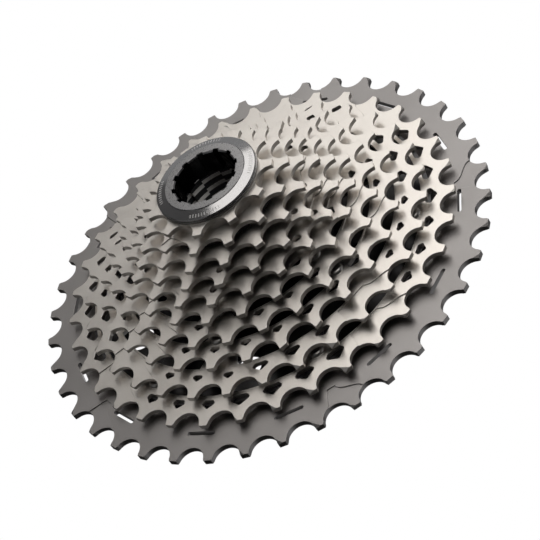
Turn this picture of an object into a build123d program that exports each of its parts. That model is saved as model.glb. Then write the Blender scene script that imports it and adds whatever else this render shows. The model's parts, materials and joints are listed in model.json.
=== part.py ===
from build123d import *
from math import atan2, cos, degrees, floor, hypot, pi, radians, sin, sqrt
import os

# Eleven-speed bicycle cassette, 11 to 40 teeth.  Sizes are in millimetres.
# Every piece is drawn lying flat, with the spin axis along +Z and the outboard
# side upwards, and is turned once at the end so that the spin axis lies along Y
# with the outboard (lock ring) side at -Y and +Z up.
# The origin is on the spin axis, where the rear carrier's hub stops against the
# shoulder of the freehub body.

# ---- chain and stack ----
CHAIN_PITCH = 12.7
ROW_PITCH = 3.85
PLATE = 1.6
ALLOY_PLATE = 2.0
FIRST_FACE = 0.2
TOOTH_COUNTS = (40, 35, 31, 27, 24, 21, 19, 17, 15, 13, 11)

# ---- teeth ----
# The gaps are round: each is nearly half a circle whose centre is just outside the
# pitch circle, and both rise a little as the sprockets get larger.
GAP_RADIUS = 4.85
GAP_RISE = 0.3
GAP_RISE_GAIN = 0.022
GAP_STOP = 8.0
TIP_RISE = 0.3
TIP_RISE_GAIN = 0.03
TIP_LEAN = 0.3
ALLOY_LIFT = 0.45
ALLOY_TEETH = 40
SLANT_RISE = 1.0
BEVEL_LOW = 2.6
BEVEL_DEPTH = 0.85
BEVEL_ACROSS = 0.75
RAMP_DEPTH = 0.35
HOLE_CORNER = 0.085
HOLE_TURN = -0.2

# ---- slots in the largest sprocket ----
SLOT_PAIRS = 7
SLOT_PAIR_ANGLE = 317.25
SLOT_SPREAD = 12.3
SLOT_CIRCLE = 72.0
SLOT_LENGTH = 10.2
SLOT_WIDTH = 1.38

# ---- freehub spline ----
SPLINE_TABS = 9
SPLINE_MAJOR = 17.45
SPLINE_MINOR = 16.15
TAB_HALF_ANGLE = 9.0
KEY_TAB_HALF_ANGLE = 6.0
KEY_TAB_ANGLE = 90.0
SPACER_OUTER = 21.4

# ---- carriers and rivets ----
ARMS = 6
RIVET_SHANK = 1.6
RIVET_HOLE = 1.62
RIVET_HEAD = 2.7
RIVET_HEAD_HEIGHT = 0.9
REAR_ARM_ANGLE = 52.0
REAR_RIVET_CIRCLE = 57.5
REAR_HUB_OUTER = 24.0
REAR_HUB_TOP = 5.2
REAR_RIM_INNER = 54.0
REAR_RIM_OUTER = 63.0
REAR_WEB = 1.1
REAR_WEB_INNER = 30.0
REAR_WINDOW = (44.0, 53.6, 9.5)
REAR_WINDOW_ANGLE = 26.0
FRONT_ARM_ANGLE = 18.0
OUTER_RIVET_CIRCLE = 43.5
INNER_RIVET_CIRCLE = 35.5
FRONT_HUB_OUTER = 23.0
FRONT_WINDOW = (24.6, 32.4, 4.2)
ARM_ROOT_WIDTH = 15.0
REAR_ARM_TIP_WIDTH = 8.6
FRONT_ARM_TIP_WIDTH = 8.0
TAB_HALF_WIDTH = 3.8

# ---- lock ring and its washer ----
WASHER_HEIGHT = 0.4
WASHER_OUTER = 17.6
WASHER_INNER = 15.5
BOSS_HEIGHT = 0.35
BOSS_OUTER = 18.15
RING_OUTER = 18.0
RING_FACE_OUTER = 14.3
RING_EDGE_HEIGHT = 1.35
RING_DISH = 1.0
THREAD_MAJOR = 15.3
THREAD_MINOR = 14.75
THREAD_PITCH = 1.0
THREAD_TURNS = 6
SOCKET_GROOVES = 12
SOCKET_MAJOR = 11.95
SOCKET_MINOR = 10.9
SOCKET_GROOVE_HALF_ANGLE = 5.6
SOCKET_ANGLE = 10.3
MOUTH = 0.45


def polar(radius, angle):
    return (radius * cos(radians(angle)), radius * sin(radians(angle)))


def pitch_radius(teeth):
    return CHAIN_PITCH / 2 / sin(pi / teeth)


def risen_radius(teeth, rise, gain):
    """Pitch radius and a rise that grows with the teeth; the alloy teeth stand higher."""
    lift = ALLOY_LIFT if teeth == ALLOY_TEETH else 0
    return pitch_radius(teeth) + rise + gain * (teeth - TOOTH_COUNTS[-1]) + lift


def gap_centre(teeth):
    return risen_radius(teeth, GAP_RISE, GAP_RISE_GAIN)


def tip_radius(teeth):
    return risen_radius(teeth, TIP_RISE, TIP_RISE_GAIN)


def half_tooth(teeth, radius):
    """Half of a tooth's width at a radius below the gap's centre."""
    depth = gap_centre(teeth) - radius
    return gap_centre(teeth) * sin(pi / teeth) - sqrt(GAP_RADIUS ** 2 - depth ** 2)


def front_of(teeth):
    """Height of a sprocket's outboard face."""
    return FIRST_FACE + ROW_PITCH * TOOTH_COUNTS.index(teeth)


def thickness(teeth):
    return ALLOY_PLATE if teeth == ALLOY_TEETH else PLATE


def back_of(teeth):
    return front_of(teeth) - thickness(teeth)


# ---- outlines ----

def arc_about(centre, radius, start, end):
    """Arc about a centre, from one direction to another, by way of their middle."""
    points = []
    for angle in (start, (start + end) / 2, end):
        x, y = polar(radius, angle)
        points.append((centre[0] + x, centre[1] + y))
    return ThreePointArc(*points)


def tooth_outline(teeth, tooth_angle, slanted):
    """Closed outline of round gaps and narrow teeth; a slanted tip is higher on its clockwise side."""
    step = 360 / teeth
    tip = tip_radius(teeth)
    rim = gap_centre(teeth)
    stop_x, stop_y = polar(GAP_RADIUS, GAP_STOP)
    half_gap = degrees(atan2(stop_x, rim - stop_y))
    half_tip = step / 2 - half_gap - degrees(TIP_LEAN / tip)
    edges = []
    for index in range(teeth):
        tooth = tooth_angle + index * step
        gap = tooth + step / 2
        rise = SLANT_RISE if index in slanted else 0
        next_rise = SLANT_RISE if (index + 1) % teeth in slanted else 0
        here = polar(tip, tooth + half_tip)
        there = polar(tip + next_rise, tooth + step - half_tip)
        seat = arc_about(polar(rim, gap), GAP_RADIUS, gap + 270 - GAP_STOP, gap + 90 + GAP_STOP)
        edges.append(Line(polar(tip + rise, tooth - half_tip), here))
        edges.append(Line(here, seat @ 0))
        edges.append(seat)
        edges.append(Line(seat @ 1, there))
    return Wire(edges)


def ring_outline(radius, lobes, lobe_radius):
    """A circle broken by lobes, each given as (middle angle, half angle), to another radius."""
    edges = []
    for index, (middle, half) in enumerate(lobes):
        following = lobes[(index + 1) % len(lobes)]
        next_start = following[0] - following[1]
        while next_start < middle + half:
            next_start += 360
        edges.append(Line(polar(radius, middle - half), polar(lobe_radius, middle - half)))
        edges.append(arc_about((0, 0), lobe_radius, middle - half, middle + half))
        edges.append(Line(polar(lobe_radius, middle + half), polar(radius, middle + half)))
        edges.append(arc_about((0, 0), radius, middle + half, next_start))
    return Wire(edges)


def spline_outline():
    """The bore that slides on the freehub body: nine inward tabs, one of them narrower."""
    lobes = []
    for index in range(SPLINE_TABS):
        half = KEY_TAB_HALF_ANGLE if index == 0 else TAB_HALF_ANGLE
        lobes.append((KEY_TAB_ANGLE + index * 360 / SPLINE_TABS, half))
    return ring_outline(SPLINE_MAJOR, lobes, SPLINE_MINOR)


def tabbed_opening(radius, rivet_circle, first_angle):
    """A sprocket's inner opening, with a tab reaching inwards round each rivet."""
    half_base = degrees(1.8 * TAB_HALF_WIDTH / radius)
    edges = []
    for index in range(ARMS):
        angle = first_angle + index * 360 / ARMS
        side = degrees(atan2(TAB_HALF_WIDTH, rivet_circle))
        reach = hypot(TAB_HALF_WIDTH, rivet_circle)
        before = polar(reach, angle - side)
        middle = polar(rivet_circle - TAB_HALF_WIDTH, angle)
        after = polar(reach, angle + side)
        next_base = angle + 360 / ARMS - half_base
        edges.append(Line(polar(radius, angle - half_base), before))
        edges.append(ThreePointArc(before, middle, after))
        edges.append(Line(after, polar(radius, angle + half_base)))
        edges.append(arc_about((0, 0), radius, angle + half_base, next_base))
    return Wire(edges)


def shield_hole(radius, angle, width, height):
    """A five-sided hole with rounded corners, its point outwards, centred at a radius and an angle."""
    top = height / 2
    shoulder = -0.1 * height
    base = 0.33 * width
    with BuildSketch() as sketch:
        Polygon((top, 0), (shoulder, width / 2), (-top, base), (-top, -base), (shoulder, -width / 2),
                align=None)
        fillet(sketch.vertices(), HOLE_CORNER * (width + height))
    placed = Rot(0, 0, angle) * Pos(radius, 0, 0) * sketch.face()
    return placed.outer_wire()


def round_hole(radius, angle, hole_radius):
    return Pos(*polar(radius, angle), 0) * Wire.make_circle(hole_radius)


def slot_hole(radius, angle, length, width):
    with BuildSketch() as sketch:
        SlotOverall(length, width)
    placed = Rot(0, 0, angle) * Pos(radius, 0, 0) * Rot(0, 0, 90) * sketch.face()
    return placed.outer_wire()


# ---- tooth and ramp cuts ----

def flank_bevel(teeth, angle, size):
    """A slanting block that cuts the clockwise corner of one tooth's outboard face."""
    front = front_of(teeth)
    tip = tip_radius(teeth)
    low = pitch_radius(teeth) - size * BEVEL_LOW
    half_tip = half_tooth(teeth, gap_centre(teeth)) - TIP_LEAN
    outer_point = Vector(tip, half_tip * (2 * BEVEL_ACROSS * size - 1), front)
    corner_point = Vector(tip, -half_tip, front - size * BEVEL_DEPTH)
    inner_point = Vector(low, -half_tooth(teeth, low), front)
    along = (outer_point - inner_point).normalized()
    normal = along.cross(corner_point - outer_point).normalized()
    if normal.Z < 0:
        normal = normal * -1
    length = (outer_point - inner_point).length + 2
    middle = inner_point + along * (length / 2 - 0.4)
    plane = Plane(origin=middle, x_dir=along, z_dir=normal)
    block = plane * Pos(0, 0, 1.5) * Box(length, 6, 3)
    return Rot(0, 0, angle) * block


def bevels_before(teeth, first_tooth, ends, sizes):
    """Bevels on the run of teeth that ends at each given angle, with the last size on the last tooth."""
    step = 360 / teeth
    cutters = []
    for end in ends:
        last = floor((end - first_tooth) / step)
        for back, size in enumerate(reversed(sizes)):
            cutters.append(flank_bevel(teeth, first_tooth + (last - back) * step, size))
    return cutters


def shift_ramp(teeth, gate, lean):
    """Shallow pocket that lifts the chain: one straight side, one side in a long S."""
    middle, left, right, depth = gate
    pitch = pitch_radius(teeth)
    start = middle - left
    end = middle + right
    low_start = start + lean[0] * (left + right)
    low_end = end - lean[1] * (left + right)
    outer = pitch + 4
    front = front_of(teeth)
    with BuildSketch(Plane.XY.offset(front - RAMP_DEPTH)) as sketch:
        with BuildLine():
            Line(polar(outer, start), polar(pitch - depth, low_start))
            Line(polar(pitch - depth, low_start), polar(pitch - depth, low_end))
            Spline(polar(pitch - depth, low_end),
                   polar(pitch - 0.82 * depth, low_end + 0.14 * (end - low_end)),
                   polar(pitch - 0.62 * depth, low_end + 0.62 * (end - low_end)),
                   polar(pitch - 0.38 * depth, end))
            Line(polar(pitch - 0.38 * depth, end), polar(outer, end))
            arc_about((0, 0), outer, start, end)
        make_face()
    return extrude(sketch.sketch, 2 * RAMP_DEPTH)


def sprocket(teeth, tooth_angle, opening, holes=(), gates=(), lean=(0.12, 0.42), slanted=(), bevels=()):
    """A toothed plate at its own height in the stack.

    Each gate is (middle angle, reach clockwise, reach anticlockwise, depth below the pitch circle).
    """
    face = Face(tooth_outline(teeth, tooth_angle, slanted), [opening, *holes])
    blank = Pos(0, 0, back_of(teeth)) * extrude(face, thickness(teeth))
    cutters = list(bevels)
    for gate in gates:
        cutters.append(shift_ramp(teeth, gate, lean))
    return blank - cutters if cutters else blank


def teeth_in_groups(teeth, first_tooth, groups, skipped, turn):
    """Angles of the holes under the teeth, in runs with a few teeth left out between runs.

    Each entry is (angle, place in its run).
    """
    step = 360 / teeth
    angle = first_tooth + turn
    entries = []
    for run in groups:
        for place in range(run):
            entries.append((angle + place * step, place))
        angle += (run + skipped) * step
    return entries


def gaps_between(teeth, first_tooth, groups, skipped, turn):
    """Middle angle of each stretch of teeth that the groups leave out."""
    step = 360 / teeth
    angle = first_tooth + turn
    middles = []
    for run in groups:
        angle += run * step
        middles.append(angle + (skipped - 1) / 2 * step)
        angle += skipped * step
    return middles


# ---- riveted sprockets ----

def rivet_holes(circle, first_angle):
    holes = []
    for index in range(ARMS):
        holes.append(round_hole(circle, first_angle + index * 360 / ARMS, RIVET_HOLE))
    return holes


def sprocket_40():
    first = 5.36
    holes = rivet_holes(REAR_RIVET_CIRCLE, REAR_ARM_ANGLE)
    for pair in range(SLOT_PAIRS):
        for side in (-1, 1):
            angle = SLOT_PAIR_ANGLE + pair * 360 / SLOT_PAIRS + side * SLOT_SPREAD
            holes.append(slot_hole(SLOT_CIRCLE, angle, SLOT_LENGTH, SLOT_WIDTH))
    gates = [(290.5 + index * 72, 4.0, 6.5, 10.2) for index in range(5)]
    ends = [gate[0] + 4 for gate in gates]
    bevels = bevels_before(40, first, ends, (0.6, 0.75, 0.9, 1.0))
    opening = tabbed_opening(61.0, REAR_RIVET_CIRCLE, REAR_ARM_ANGLE)
    return sprocket(40, first, opening, holes, gates, lean=(0.25, 0.53), bevels=bevels)


def graded_holes(entries, radius, small, large, small_count):
    """Holes under the teeth: the first few of each run are smaller."""
    holes = []
    for angle, place in entries:
        width, height = small if place < small_count else large
        holes.append(shield_hole(radius, angle, width, height))
    return holes


def sprocket_35():
    groups = (7, 7, 7, 6)
    first = 234.9
    middles = gaps_between(35, first, groups, 2, HOLE_TURN)
    holes = graded_holes(teeth_in_groups(35, first, groups, 2, HOLE_TURN),
                         pitch_radius(35) - 7.0, (5.0, 3.6), (7.4, 4.4), 3)
    holes += rivet_holes(REAR_RIVET_CIRCLE, REAR_ARM_ANGLE)
    gates = [(angle, 9.7, 10.4, 10.0) for angle in middles]
    ends = [angle + 6 for angle in middles]
    bevels = bevels_before(35, first, ends, (0.5, 0.7, 0.85, 1.0, 1.0, 1.0))
    opening = tabbed_opening(60.3, REAR_RIVET_CIRCLE, REAR_ARM_ANGLE)
    return sprocket(35, first, opening, holes, gates, lean=(0.05, 0.38), bevels=bevels)


def sprocket_31():
    groups = (6, 6, 6, 5)
    first = 239.6
    middles = gaps_between(31, first, groups, 2, HOLE_TURN)
    holes = graded_holes(teeth_in_groups(31, first, groups, 2, HOLE_TURN),
                         pitch_radius(31) - 6.6, (4.0, 2.6), (6.1, 3.4), 3)
    holes += rivet_holes(OUTER_RIVET_CIRCLE, FRONT_ARM_ANGLE)
    gates = [(angle, 10.5, 12.0, 9.3) for angle in middles]
    ends = [angle + 7 for angle in middles]
    bevels = bevels_before(31, first, ends, (0.55, 0.8, 1.0, 1.0, 1.0))
    opening = tabbed_opening(52.6, OUTER_RIVET_CIRCLE, FRONT_ARM_ANGLE)
    return sprocket(31, first, opening, holes, gates, lean=(0.05, 0.38), bevels=bevels)


def sprocket_27():
    groups = (7, 7, 7)
    first = 244.3
    holes = graded_holes(teeth_in_groups(27, first, groups, 2, 0),
                         pitch_radius(27) - 6.5, (4.0, 2.6), (6.1, 3.4), 4)
    holes += rivet_holes(OUTER_RIVET_CIRCLE, FRONT_ARM_ANGLE)
    gates = [(angle, 13.7, 12.5, 8.6) for angle in gaps_between(27, first, groups, 2, 0)]
    opening = tabbed_opening(45.4, OUTER_RIVET_CIRCLE, FRONT_ARM_ANGLE)
    slanted = [place + turn * 9 for turn in range(3) for place in (3, 4)]
    return sprocket(27, first, opening, holes, gates, slanted=slanted)


def sprocket_24():
    first = 250.1
    holes = rivet_holes(INNER_RIVET_CIRCLE, FRONT_ARM_ANGLE)
    for turn in range(3):
        for tooth, width in ((0, 4.0), (2, 4.0), (3, 4.0), (4, 5.6)):
            angle = first + tooth * 15 + turn * 120
            holes.append(shield_hole(pitch_radius(24) - 6.9, angle, width, 1.2 + width / 3))
    gates = [(347 + index * 120, 15.0, 15.0, 8.4) for index in range(3)]
    opening = tabbed_opening(39.2, INNER_RIVET_CIRCLE, FRONT_ARM_ANGLE)
    slanted = [place + turn * 8 for turn in range(3) for place in (3, 4)]
    return sprocket(24, first, opening, holes, gates, slanted=slanted)


# ---- loose sprockets ----

def loose_sprocket(teeth, tooth_angle, hole_teeth, hole_radius, gates, slanted=()):
    """A splined sprocket with round holes under some of its teeth, given by number."""
    holes = []
    for number in hole_teeth:
        angle = tooth_angle + number * 360 / teeth
        holes.append(round_hole(pitch_radius(teeth) - 5.8, angle, hole_radius))
    return sprocket(teeth, tooth_angle, spline_outline(), holes, gates, slanted=slanted)


def sprocket_21():
    first = 308.0
    gates = [(350.5 + index * 120, 13.5, 13.5, 8.0) for index in range(3)]
    holes = []
    for number in (0, 2, 7, 9, 14, 16):
        holes.append(shield_hole(pitch_radius(21) - 6.4, first + number * 360 / 21, 5.5, 3.3))
    slanted = [place + turn * 7 for turn in range(3) for place in (0, 1)]
    return sprocket(21, first, spline_outline(), holes, gates, slanted=slanted)


def sprocket_19():
    gates = [(348 + index * 120, 14.0, 13.0, 7.4) for index in range(3)]
    return loose_sprocket(19, 317.8, (0, 1, 3, 4, 7, 10, 11, 13, 16), 1.45, gates, (0, 1, 10, 11))


def sprocket_17():
    gates = [(6.5, 14.0, 13.0, 6.8), (186.5, 14.0, 13.0, 6.8)]
    return loose_sprocket(17, 331.3, (0, 1, 3, 6, 8, 10, 14), 1.3, gates, (0, 8))


def sprocket_15():
    gates = [(231, 15.0, 14.0, 6.4), (51, 15.0, 14.0, 6.4)]
    return loose_sprocket(15, 322.4, (), 0, gates, (1, 8))


def sprocket_13():
    gates = [(238, 17.0, 14.0, 4.9), (58, 17.0, 14.0, 4.9)]
    return loose_sprocket(13, 310.0, (), 0, gates)


def splined_ring(outer, bottom, top):
    face = Face(Wire.make_circle(outer), [spline_outline()])
    return Pos(0, 0, bottom) * extrude(face, top - bottom)


def sprocket_11():
    """Smallest sprocket: its own boss spaces it from the next, and a low ring faces the washer."""
    plate = loose_sprocket(11, 326.1, (), 0, ())
    rear_boss = splined_ring(BOSS_OUTER, front_of(13), back_of(11))
    front_boss = splined_ring(BOSS_OUTER, front_of(11), front_of(11) + BOSS_HEIGHT)
    return plate + rear_boss + front_boss


def spacer(rear_teeth, front_teeth):
    ring = splined_ring(SPACER_OUTER, front_of(rear_teeth), back_of(front_teeth))
    rims = ring.faces().filter_by(GeomType.CYLINDER).sort_by(SortBy.AREA)[-1].edges()
    return chamfer(rims.filter_by(GeomType.CIRCLE), 0.3)


# ---- carriers ----

def arm_outline(angle, root, tip_circle, end_width):
    """One tapering arm from the hub, with a round end about its rivet."""
    half_tip = end_width / 2
    half_root = ARM_ROOT_WIDTH / 2
    with BuildSketch() as sketch:
        with BuildLine():
            Line((root, -half_root), (tip_circle, -half_tip))
            ThreePointArc((tip_circle, -half_tip), (tip_circle + half_tip, 0), (tip_circle, half_tip))
            Line((tip_circle, half_tip), (root, half_root))
            Line((root, half_root), (root, -half_root))
        make_face()
    return Rot(0, 0, angle) * sketch.sketch


def carrier_plan(hub_outer, first_angle, tip_circle, end_width):
    plan = Sketch() + Circle(hub_outer)
    for index in range(ARMS):
        angle = first_angle + index * 360 / ARMS
        plan += arm_outline(angle, hub_outer - 6, tip_circle, end_width)
    return plan - make_face(spline_outline())


def turned_blank(points):
    with BuildSketch(Plane.XZ) as sketch:
        with BuildLine():
            Polyline(*points, close=True)
        make_face()
    return revolve(sketch.sketch, Axis.Z, 360)


def round_cutters(circle, first_angle, radius, bottom, top):
    cutters = []
    for index in range(ARMS):
        x, y = polar(circle, first_angle + index * 360 / ARMS)
        cutters.append(Pos(x, y, (bottom + top) / 2) * Cylinder(radius, top - bottom))
    return cutters


def windows(first_angle, inner, outer, width, bottom, top):
    """Rounded slots set round a carrier, each along a radius."""
    cutters = []
    for index in range(ARMS):
        angle = first_angle + index * 360 / ARMS
        window = extrude(SlotOverall(outer - inner, width), top - bottom)
        place = Rot(0, 0, angle) * Pos((inner + outer) / 2, 0, bottom)
        cutters.append(place * window)
    return cutters


def rear_carrier():
    """Aluminium dish that carries the two largest sprockets, one on each face of its rim.

    Six ribs run from the hub to the rivets, with a window in the thin web between each two.
    """
    low = front_of(40)
    high = back_of(35)
    web_top = low + REAR_WEB
    dish = turned_blank([(SPLINE_MINOR - 1, 0), (REAR_HUB_OUTER, 0), (REAR_HUB_OUTER + 3, low),
                         (REAR_RIM_OUTER, low), (REAR_RIM_OUTER, high), (REAR_RIM_INNER, high),
                         (REAR_RIM_INNER - 1, web_top), (REAR_WEB_INNER, web_top),
                         (REAR_HUB_OUTER, REAR_HUB_TOP), (SPLINE_MINOR - 1, REAR_HUB_TOP)])
    ribs = carrier_plan(REAR_HUB_OUTER, REAR_ARM_ANGLE, REAR_RIVET_CIRCLE, REAR_ARM_TIP_WIDTH)
    dish += Pos(0, 0, low) * extrude(ribs, high - low)
    dish -= Pos(0, 0, -1) * extrude(make_face(spline_outline()), REAR_HUB_TOP + 2)
    dish -= round_cutters(REAR_RIVET_CIRCLE, REAR_ARM_ANGLE, RIVET_HOLE, -1, 6)
    return dish - windows(REAR_WINDOW_ANGLE, *REAR_WINDOW, -1, 6)


def front_carrier():
    """Aluminium spider that carries the three middle sprockets on its stepped arms."""
    low = front_of(31)
    middle = back_of(27)
    high = back_of(24)
    top = back_of(21)
    step = OUTER_RIVET_CIRCLE - TAB_HALF_WIDTH - 0.3
    plan = carrier_plan(FRONT_HUB_OUTER, FRONT_ARM_ANGLE, OUTER_RIVET_CIRCLE, FRONT_ARM_TIP_WIDTH)
    blank = turned_blank([(0, REAR_HUB_TOP), (FRONT_HUB_OUTER, REAR_HUB_TOP), (31, low), (50, low),
                          (50, middle), (step, middle), (step, high), (28, high),
                          (FRONT_HUB_OUTER, top - 1), (FRONT_HUB_OUTER - 1, top), (0, top)])
    spider = Pos(0, 0, REAR_HUB_TOP) * extrude(plan, top - REAR_HUB_TOP) & blank
    spider -= round_cutters(OUTER_RIVET_CIRCLE, FRONT_ARM_ANGLE, RIVET_HOLE, 0, 20)
    spider -= round_cutters(INNER_RIVET_CIRCLE, FRONT_ARM_ANGLE, RIVET_HOLE, 0, 20)
    return spider - windows(FRONT_ARM_ANGLE, *FRONT_WINDOW, 0, 20)


# ---- rivets ----

def rivet(bottom, top):
    """Shank with a low domed head on each side of what it clamps."""
    rise = RIVET_HEAD_HEIGHT
    flat = 0.45 * RIVET_HEAD
    with BuildSketch(Plane.XZ) as sketch:
        with BuildLine():
            Polyline((0, top + rise), (flat, top + rise))
            ThreePointArc((flat, top + rise), (0.84 * RIVET_HEAD, top + 0.72 * rise), (RIVET_HEAD, top))
            Polyline((RIVET_HEAD, top), (RIVET_SHANK, top), (RIVET_SHANK, bottom), (RIVET_HEAD, bottom))
            ThreePointArc((RIVET_HEAD, bottom), (0.84 * RIVET_HEAD, bottom - 0.72 * rise),
                          (flat, bottom - rise))
            Polyline((flat, bottom - rise), (0, bottom - rise), (0, top + rise))
        make_face()
    return revolve(sketch.sketch, Axis.Z, 360)


def rivet_circle(circle, first_angle, bottom, top):
    one = rivet(bottom, top)
    rivets = []
    for index in range(ARMS):
        x, y = polar(circle, first_angle + index * 360 / ARMS)
        rivets.append(Pos(x, y, 0) * one)
    return Compound(children=rivets)


# ---- lock ring ----

def washer():
    bottom = front_of(11) + BOSS_HEIGHT
    ring = Cylinder(WASHER_OUTER, WASHER_HEIGHT) - Cylinder(WASHER_INNER, WASHER_HEIGHT)
    ring = chamfer(ring.edges().filter_by(GeomType.CIRCLE), 0.1)
    return Pos(0, 0, bottom + WASHER_HEIGHT / 2) * ring


def socket_outline():
    lobes = []
    for index in range(SOCKET_GROOVES):
        lobes.append((SOCKET_ANGLE + index * 360 / SOCKET_GROOVES, SOCKET_GROOVE_HALF_ANGLE))
    return ring_outline(SOCKET_MINOR, lobes, SOCKET_MAJOR)


def thread_points(top, bottom):
    """Zigzag down the threaded barrel, one crest a pitch."""
    points = []
    height = top
    for _ in range(THREAD_TURNS):
        points.append((THREAD_MINOR, height))
        points.append((THREAD_MINOR, height - 0.15 * THREAD_PITCH))
        points.append((THREAD_MAJOR, height - 0.45 * THREAD_PITCH))
        points.append((THREAD_MAJOR, height - 0.7 * THREAD_PITCH))
        height -= THREAD_PITCH
    points.append((THREAD_MINOR, height))
    points.append((THREAD_MINOR - 0.5, bottom))
    return points


def lock_ring():
    """Threaded barrel under a flange whose front rises as a cone to a flat face round the socket."""
    seat = front_of(11) + BOSS_HEIGHT + WASHER_HEIGHT
    edge = seat + RING_EDGE_HEIGHT
    face = edge + RING_DISH
    barrel_end = seat - THREAD_TURNS * THREAD_PITCH - 0.5
    groove = seat + 0.5
    section = [(SOCKET_MINOR - 2, barrel_end), (SOCKET_MINOR - 2, face), (RING_FACE_OUTER, face),
               (RING_FACE_OUTER + 0.15, face - 0.25), (RING_OUTER - 0.2, edge), (RING_OUTER, edge - 0.2),
               (RING_OUTER, groove + 0.3), (RING_OUTER - 0.35, groove + 0.15), (RING_OUTER - 0.35, groove),
               (RING_OUTER, groove - 0.15), (RING_OUTER, seat)]
    section += thread_points(seat, barrel_end)
    body = turned_blank(section)
    cutter = Pos(0, 0, barrel_end - 1) * extrude(make_face(socket_outline()), face - barrel_end + 2)
    mouth = Pos(0, 0, face - MOUTH / 2) * Cone(SOCKET_MINOR, SOCKET_MINOR + MOUTH, MOUTH)
    return body - cutter - mouth


PIECES = {
    "sprocket_40t": sprocket_40,
    "sprocket_35t": sprocket_35,
    "rear_carrier": rear_carrier,
    "rear_rivets": lambda: rivet_circle(REAR_RIVET_CIRCLE, REAR_ARM_ANGLE, back_of(40), front_of(35)),
    "sprocket_31t": sprocket_31,
    "sprocket_27t": sprocket_27,
    "sprocket_24t": sprocket_24,
    "front_carrier": front_carrier,
    "outer_rivets": lambda: rivet_circle(OUTER_RIVET_CIRCLE, FRONT_ARM_ANGLE, back_of(31), front_of(27)),
    "inner_rivets": lambda: rivet_circle(INNER_RIVET_CIRCLE, FRONT_ARM_ANGLE, front_of(31), front_of(24)),
    "sprocket_21t": sprocket_21,
    "spacer_21_19": lambda: spacer(21, 19),
    "sprocket_19t": sprocket_19,
    "spacer_19_17": lambda: spacer(19, 17),
    "sprocket_17t": sprocket_17,
    "spacer_17_15": lambda: spacer(17, 15),
    "sprocket_15t": sprocket_15,
    "spacer_15_13": lambda: spacer(15, 13),
    "sprocket_13t": sprocket_13,
    "sprocket_11t": sprocket_11,
    "lock_ring_washer": washer,
    "lock_ring": lock_ring,
}


def main():
    os.makedirs("parts", exist_ok=True)
    for name, make in PIECES.items():
        export_step(Rot(90, 0, 0) * make(), f"parts/{name}.step")


main()
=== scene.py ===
import bpy
import json
import math
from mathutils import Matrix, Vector


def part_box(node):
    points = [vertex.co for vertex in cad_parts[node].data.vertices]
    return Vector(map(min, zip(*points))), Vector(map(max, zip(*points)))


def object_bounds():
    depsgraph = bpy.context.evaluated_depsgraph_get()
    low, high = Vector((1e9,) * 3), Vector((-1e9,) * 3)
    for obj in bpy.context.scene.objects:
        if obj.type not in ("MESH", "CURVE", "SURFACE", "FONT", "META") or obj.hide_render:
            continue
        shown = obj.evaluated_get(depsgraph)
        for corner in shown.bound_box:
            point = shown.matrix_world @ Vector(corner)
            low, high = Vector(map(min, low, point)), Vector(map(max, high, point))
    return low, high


# ---- driving values, in metres, degrees and watts ----

CAMERA_AZIMUTH = 25.6
CAMERA_ELEVATION = -43.2
CAMERA_DISTANCE = 0.6206
CAMERA_LENS = 122.2
CAMERA_SENSOR = 36
AIM_RIGHT = 0.0033
AIM_UP = -0.0046

FLOOR_DROP = 0.62
FLOOR_REACH = 6.0
FLOOR_GLOW = 0.62

# the room's light climbs from its dim to its bright strength between these heights
ROOM_HEIGHTS = (-0.25, 0.8)
ROOM_STRENGTHS = (0.015, 0.11)
ROOM_TINT = (1.0, 0.985, 0.97, 1)

# softboxes: direction from the object, distance, width and height, power, tint
WHITE = (1, 1, 1)
LIGHTS = {
    "key": ((0.05, -0.88, 0.45), 1.1, (0.76, 1.22), 5.0, (1.0, 0.965, 0.92)),
    "top": ((-0.25, -0.25, 0.93), 1.2, (0.8, 0.8), 0.5, WHITE),
    "right": ((0.95, -0.10, 0.20), 1.3, (0.9, 0.9), 0.9, WHITE),
    "left": ((-0.66, -0.62, -0.42), 1.3, (1.0, 1.0), 0.5, WHITE),
    "back": ((0.62, 0.72, -0.15), 1.3, (1.2, 1.2), 1.6, WHITE),
    "back_top": ((-0.2, 0.75, 0.6), 1.3, (1.0, 1.0), 3.0, WHITE),
}

# where most of a noise texture's values lie, and the same a little tighter
MOST = (0.3, 0.7)
MIDDLE = (0.35, 0.65)

# the softened edges, and how far a normal has to turn there to be painted lighter, as wear and as
# a painted highlight
EDGE_ROUND = 0.00018
EDGE_TURN = (0.86, 0.99)

# lock ring: distances from the spin axis, and depths behind its front face
# inside this radius and behind this depth, the socket is painted near black: painted shade in the
# bore
SOCKET_RADIUS = 0.01225
SOCKET_DEPTH = 0.0005
FACE_RADIUS = 0.01425
FACE_DEPTH = 0.0006
TICK_INNER = 0.0159
TICK_OUTER = 0.0171
TICK_DEPTH = 0.0013
TICK_STEP = 3.6
TICK_SHARE = 0.42
TICK_GROUPS = 4.0
GROUP_CUT = 0.25

# turning marks, in radians of wave for a metre of radius
WASHER_WAVE = 42000
LOCK_RING_WAVE = 30000

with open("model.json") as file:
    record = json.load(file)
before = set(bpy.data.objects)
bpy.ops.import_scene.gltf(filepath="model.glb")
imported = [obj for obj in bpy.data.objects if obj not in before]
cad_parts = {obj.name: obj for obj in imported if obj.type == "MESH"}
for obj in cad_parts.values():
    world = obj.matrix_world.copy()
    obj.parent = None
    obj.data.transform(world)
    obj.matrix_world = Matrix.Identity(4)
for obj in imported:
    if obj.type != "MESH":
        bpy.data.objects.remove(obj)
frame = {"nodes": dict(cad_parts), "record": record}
cad_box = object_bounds()


# ---- small helpers for node trees ----

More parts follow.
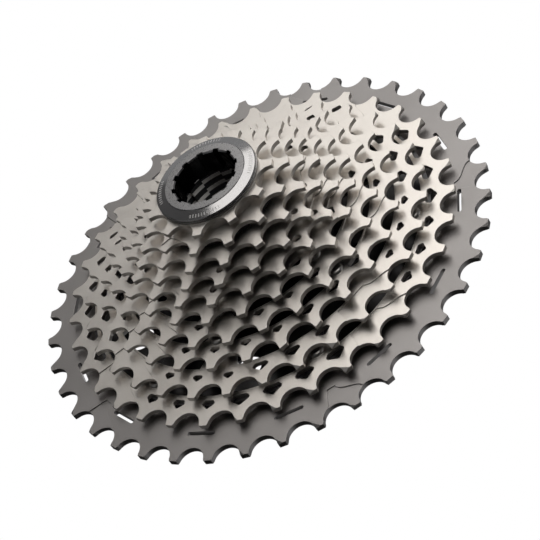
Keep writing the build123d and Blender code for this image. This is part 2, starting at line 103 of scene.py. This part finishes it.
class Tree:
    """A material's node tree, with short calls for the nodes that the materials share."""

    def __init__(self, name):
        self.material = bpy.data.materials.new(name)
        self.material.use_nodes = True
        self.nodes = self.material.node_tree.nodes
        self.links = self.material.node_tree.links
        self.shader = self.nodes["Principled BSDF"]
        self.place = self.nodes.new("ShaderNodeTexCoord").outputs["Object"]

    def feed(self, socket, value):
        """Links a socket to an output, or sets it to a number or a colour."""
        if isinstance(value, tuple):
            socket.default_value = (*value, 1.0)
        elif isinstance(value, (int, float)):
            socket.default_value = value
        else:
            self.links.new(value, socket)

    def set(self, name, value):
        self.feed(self.shader.inputs[name], value)

    def noise(self, scale, detail, roughness=0.55):
        node = self.nodes.new("ShaderNodeTexNoise")
        node.inputs["Scale"].default_value = scale
        node.inputs["Detail"].default_value = detail
        node.inputs["Roughness"].default_value = roughness
        self.feed(node.inputs["Vector"], self.place)
        return node.outputs["Fac"]

    def math(self, operation, *values):
        node = self.nodes.new("ShaderNodeMath")
        node.operation = operation
        for socket, value in zip(node.inputs, values):
            self.feed(socket, value)
        return node.outputs["Value"]

    def times(self, first, *others):
        """The product of all the values; of masks, the place where all of them are 1."""
        product = first
        for other in others:
            product = self.math("MULTIPLY", product, other)
        return product

    def under(self, value, limit):
        return self.math("LESS_THAN", value, limit)

    def over(self, value, limit):
        return self.math("GREATER_THAN", value, limit)

    def remap(self, value, old, new):
        """The old pair of values stretched to the new pair, and held at its ends."""
        node = self.nodes.new("ShaderNodeMapRange")
        node.inputs["From Min"].default_value, node.inputs["From Max"].default_value = old
        node.inputs["To Min"].default_value, node.inputs["To Max"].default_value = new
        self.feed(node.inputs["Value"], value)
        return node.outputs["Result"]

    def mix(self, factor, first, second):
        node = self.nodes.new("ShaderNodeMix")
        node.data_type = "RGBA"
        colours = [socket for socket in node.inputs if socket.type == "RGBA"]
        for socket, value in zip(colours, (first, second)):
            self.feed(socket, value)
        self.feed(node.inputs["Factor"], factor)
        return next(socket for socket in node.outputs if socket.type == "RGBA")

    def blend(self, value, old, first, second, share=1):
        """The first colour at the old pair's start, and a share of the second at its end."""
        return self.mix(self.remap(value, old, (0, share)), first, second)

    def round_edges(self):
        """Normals that turn softly over every edge."""
        node = self.nodes.new("ShaderNodeBevel")
        node.samples = 4
        node.inputs["Radius"].default_value = EDGE_ROUND
        return node.outputs["Normal"]

    def edge_wear_and_highlight(self):
        """1 where a face turns over an edge and 0 on open faces: the mask for edges painted
        lighter, as wear and as a painted highlight.
        """
        geometry = self.nodes.new("ShaderNodeNewGeometry")
        turn = self.nodes.new("ShaderNodeVectorMath")
        turn.operation = "DOT_PRODUCT"
        self.feed(turn.inputs[0], geometry.outputs["Normal"])
        self.feed(turn.inputs[1], self.round_edges())
        return self.remap(turn.outputs["Value"], EDGE_TURN, (1.0, 0.0))

    def bump(self, height, strength, distance, below=None):
        """Relief over the normals below it, or over the rounded edges."""
        node = self.nodes.new("ShaderNodeBump")
        node.inputs["Strength"].default_value = strength
        node.inputs["Distance"].default_value = distance
        self.feed(node.inputs["Height"], height)
        self.feed(node.inputs["Normal"], self.round_edges() if below is None else below)
        return node.outputs["Normal"]

    def axes(self):
        """Object X, Y and Z, and the distance from the spin axis."""
        node = self.nodes.new("ShaderNodeSeparateXYZ")
        self.feed(node.inputs["Vector"], self.place)
        x, y, z = (node.outputs[name] for name in "XYZ")
        radius = self.math("SQRT", self.math("ADD", self.times(x, x), self.times(z, z)))
        return x, y, z, radius

    def turning_marks(self, radius, wave):
        return self.math("SINE", self.times(radius, wave))


# ---- materials ----

def nickel_steel():
    """Satin nickel plate on stamped steel: warm, with a fine tumbled grain and faint stains."""
    t = Tree("nickel_steel")
    cloud = t.noise(42, 3)
    grain = t.noise(2600, 3, 0.6)
    speck = t.noise(7500, 2, 0.5)
    plate = t.blend(cloud, MIDDLE, (0.80, 0.765, 0.725), (0.86, 0.83, 0.79))
    speckled = t.blend(grain, (0.42, 0.7), plate, (0.91, 0.885, 0.855), 0.30)
    stains = t.remap(cloud, MOST, (-0.03, 0.03))
    # edges painted lighter: wear, and a painted highlight where light catches the rounded edges
    t.set("Base Color", t.mix(t.edge_wear_and_highlight(), speckled, (0.93, 0.91, 0.885)))
    t.set("Metallic", 1.0)
    t.set("Roughness", t.math("ADD", stains, t.remap(grain, MOST, (0.33, 0.43))))
    t.set("Normal", t.bump(speck, 0.10, 0.00004, t.bump(grain, 0.18, 0.0001)))
    return t.material


def grey_anodised():
    """Matt grey anodising on the aluminium sprocket, with a soft blasted grain."""
    t = Tree("grey_anodised")
    cloud = t.noise(30, 3)
    grain = t.noise(3200, 3, 0.6)
    base = t.blend(cloud, MIDDLE, (0.38, 0.367, 0.366), (0.43, 0.417, 0.416))
    speckled = t.blend(grain, (0.45, 0.72), base, (0.52, 0.51, 0.506), 0.22)
    # edges painted lighter: wear, and a painted highlight where light catches the rounded edges
    t.set("Base Color", t.mix(t.edge_wear_and_highlight(), speckled, (0.72, 0.72, 0.72)))
    t.set("Metallic", 0.92)
    t.set("Roughness", t.remap(grain, MOST, (0.40, 0.50)))
    t.set("Normal", t.bump(grain, 0.16, 0.0001))
    return t.material


def carrier_aluminium():
    """Dark anodised forged carriers."""
    t = Tree("carrier_aluminium")
    cloud = t.noise(60, 4)
    grain = t.noise(2400, 3, 0.6)
    base = t.blend(cloud, MOST, (0.085, 0.085, 0.09), (0.12, 0.12, 0.125))
    # edges painted lighter: wear, and a painted highlight where light catches the rounded edges
    t.set("Base Color", t.mix(t.edge_wear_and_highlight(), base, (0.35, 0.35, 0.36)))
    t.set("Metallic", 0.9)
    t.set("Roughness", t.remap(grain, MOST, (0.38, 0.50)))
    t.set("Normal", t.bump(grain, 0.2, 0.00012))
    return t.material


def rivet_steel():
    """Headed steel rivets, clouded and finely grained."""
    t = Tree("rivet_steel")
    grain = t.noise(1800, 4)
    cloud = t.noise(500, 3)
    t.set("Base Color", t.blend(cloud, MOST, (0.50, 0.49, 0.475), (0.64, 0.63, 0.61)))
    t.set("Metallic", 1.0)
    t.set("Roughness", t.remap(grain, MOST, (0.26, 0.40)))
    t.set("Normal", t.bump(grain, 0.15, 0.0001))
    return t.material


def spacer_resin():
    """Moulded black spacer rings."""
    t = Tree("spacer_resin")
    grain = t.noise(1500, 5, 0.65)
    t.set("Base Color", t.mix(grain, (0.016, 0.016, 0.017), (0.032, 0.032, 0.034)))
    t.set("Metallic", 0.0)
    t.set("Roughness", t.remap(grain, MOST, (0.50, 0.66)))
    t.set("Normal", t.bump(grain, 0.3, 0.00012))
    return t.material


def washer_steel():
    """Bright rolled steel with fine concentric lines."""
    t = Tree("washer_steel")
    radius = t.axes()[3]
    grain = t.noise(2500, 3)
    t.set("Base Color", t.blend(grain, MOST, (0.58, 0.57, 0.56), (0.70, 0.69, 0.68)))
    t.set("Metallic", 1.0)
    t.set("Roughness", t.remap(grain, MOST, (0.22, 0.34)))
    t.set("Normal", t.bump(t.turning_marks(radius, WASHER_WAVE), 0.05, 0.00002))
    return t.material


def tick_marks(t, x, z, radius, in_front):
    """Short bright ticks in evenly spaced groups round the lock ring's cone."""
    angle = t.math("ARCTAN2", z, x)
    comb = t.math("FRACT", t.math("DIVIDE", angle, math.radians(TICK_STEP)))
    groups = t.math("COSINE", t.times(angle, TICK_GROUPS))
    return t.times(t.under(comb, TICK_SHARE), t.over(groups, GROUP_CUT),
                   t.over(radius, TICK_INNER), t.under(radius, TICK_OUTER), in_front)


def black_anodised():
    """Black lock ring: polished cone with plain graduation ticks, satin grey face ring, and
    painted shade making its socket near black.
    """
    t = Tree("black_anodised")
    x, y, z, radius = t.axes()
    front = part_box("lock_ring")[0].y
    grain = t.noise(2600, 3, 0.6)

    on_face = t.times(t.under(radius, FACE_RADIUS), t.under(y, front + FACE_DEPTH))
    # painted shade: the recess inside the socket, behind the front face
    socket_painted_shade = t.times(t.under(radius, SOCKET_RADIUS), t.over(y, front + SOCKET_DEPTH))
    ticks = tick_marks(t, x, z, radius, t.under(y, front + TICK_DEPTH))

    black = t.blend(grain, MOST, (0.40, 0.40, 0.41), (0.45, 0.45, 0.46))
    grey = t.blend(grain, MOST, (0.37, 0.37, 0.38), (0.41, 0.41, 0.42))
    outside = t.mix(on_face, t.mix(ticks, black, (0.85, 0.85, 0.86)), grey)
    polish = t.remap(grain, MOST, (0.12, 0.18))
    fine = t.bump(grain, 0.03, 0.00003)
    # the socket is painted near black as painted shade
    t.set("Base Color", t.mix(socket_painted_shade, outside, (0.012, 0.012, 0.013)))
    t.set("Metallic", t.math("SUBTRACT", 0.95, t.times(ticks, 0.85)))
    t.set("Roughness", t.math("ADD", polish, t.times(on_face, 0.14)))
    t.set("Normal", t.bump(t.turning_marks(radius, LOCK_RING_WAVE), 0.03, 0.00002, fine))
    return t.material


MAKERS = {
    "nickel_steel": nickel_steel,
    "anodised_grey": grey_anodised,
    "carrier_aluminium": carrier_aluminium,
    "rivet_steel": rivet_steel,
    "spacer_resin": spacer_resin,
    "washer_steel": washer_steel,
    "black_anodised": black_anodised,
}


def dress_nodes():
    """Gives each CAD node its slot's material."""
    made = {slot: make() for slot, make in MAKERS.items()}
    for part in frame["record"]["subparts"]:
        node = frame["nodes"][part["node"]]
        node.data.materials.clear()
        node.data.materials.append(made[part["material_slot"]])


# ---- stage, light and camera ----

def place_object(name, data):
    placed = bpy.data.objects.new(name, data)
    bpy.context.scene.collection.objects.link(placed)
    return placed


def turn_to_face(placed, away):
    """Turns a light or a camera so that it looks back along a direction."""
    placed.rotation_mode = "QUATERNION"
    placed.rotation_quaternion = away.to_track_quat("Z", "Y")


def make_floor():
    """A pale glowing floor far below, which neither lights nor mirrors in the object."""
    t = Tree("pale_floor")
    cloud = t.noise(3, 3)
    t.set("Base Color", t.blend(cloud, MOST, (0.80, 0.80, 0.80), (0.84, 0.84, 0.84)))
    t.set("Roughness", 0.7)
    t.set("Emission Color", (1.0, 0.995, 0.985))
    t.set("Emission Strength", FLOOR_GLOW)

    mesh = bpy.data.meshes.new("floor")
    corners = [(-1, -1), (1, -1), (1, 1), (-1, 1)]
    mesh.from_pydata([(x * FLOOR_REACH, y * FLOOR_REACH, -FLOOR_DROP) for x, y in corners],
                     [], [(0, 1, 2, 3)])
    floor = place_object("floor", mesh)
    floor.data.materials.append(t.material)
    floor.visible_diffuse = False
    floor.visible_glossy = False


def make_world():
    """White to the camera, and a dim soft room, darker below, to everything else."""
    world = bpy.data.worlds.new("studio")
    bpy.context.scene.world = world
    world.use_nodes = True
    nodes = world.node_tree.nodes
    links = world.node_tree.links
    nodes.clear()

    seen = nodes.new("ShaderNodeBackground")
    seen.inputs["Color"].default_value = (1, 1, 1, 1)
    seen.inputs["Strength"].default_value = 1.0

    place = nodes.new("ShaderNodeTexCoord")
    axes = nodes.new("ShaderNodeSeparateXYZ")
    height = nodes.new("ShaderNodeMapRange")
    height.interpolation_type = "SMOOTHSTEP"
    height.inputs["From Min"].default_value, height.inputs["From Max"].default_value = ROOM_HEIGHTS
    height.inputs["To Min"].default_value, height.inputs["To Max"].default_value = ROOM_STRENGTHS
    room = nodes.new("ShaderNodeBackground")
    room.inputs["Color"].default_value = ROOM_TINT
    links.new(place.outputs["Generated"], axes.inputs["Vector"])
    links.new(axes.outputs["Z"], height.inputs["Value"])
    links.new(height.outputs["Result"], room.inputs["Strength"])

    path = nodes.new("ShaderNodeLightPath")
    switch = nodes.new("ShaderNodeMixShader")
    output = nodes.new("ShaderNodeOutputWorld")
    links.new(path.outputs["Is Camera Ray"], switch.inputs["Fac"])
    links.new(room.outputs["Background"], switch.inputs[1])
    links.new(seen.outputs["Background"], switch.inputs[2])
    links.new(switch.outputs["Shader"], output.inputs["Surface"])


def make_lights():
    """Softboxes that look at the middle of the object."""
    middle = (cad_box[0] + cad_box[1]) / 2
    for name, (direction, distance, size, power, tint) in LIGHTS.items():
        lamp = bpy.data.lights.new(name, "AREA")
        lamp.shape = "RECTANGLE"
        lamp.size, lamp.size_y = size
        lamp.energy = power
        lamp.color = tint
        light = place_object(name, lamp)
        away = Vector(direction).normalized()
        light.location = middle + away * distance
        turn_to_face(light, away)


def make_camera():
    data = bpy.data.cameras.new("camera")
    data.sensor_width = CAMERA_SENSOR
    data.lens = CAMERA_LENS
    data.clip_start = 0.01
    data.clip_end = 50
    camera = place_object("camera", data)
    turn = math.radians(CAMERA_AZIMUTH)
    rise = math.radians(CAMERA_ELEVATION)
    back = Vector((math.sin(turn) * math.cos(rise),
                   -math.cos(turn) * math.cos(rise),
                   math.sin(rise)))
    right = Vector((math.cos(turn), math.sin(turn), 0))
    up = back.cross(right)
    camera.location = right * AIM_RIGHT + up * AIM_UP + back * CAMERA_DISTANCE
    turn_to_face(camera, back)
    bpy.context.scene.camera = camera


dress_nodes()
make_floor()
make_world()
make_lights()
make_camera()
bpy.context.scene.view_settings.view_transform = "Standard"
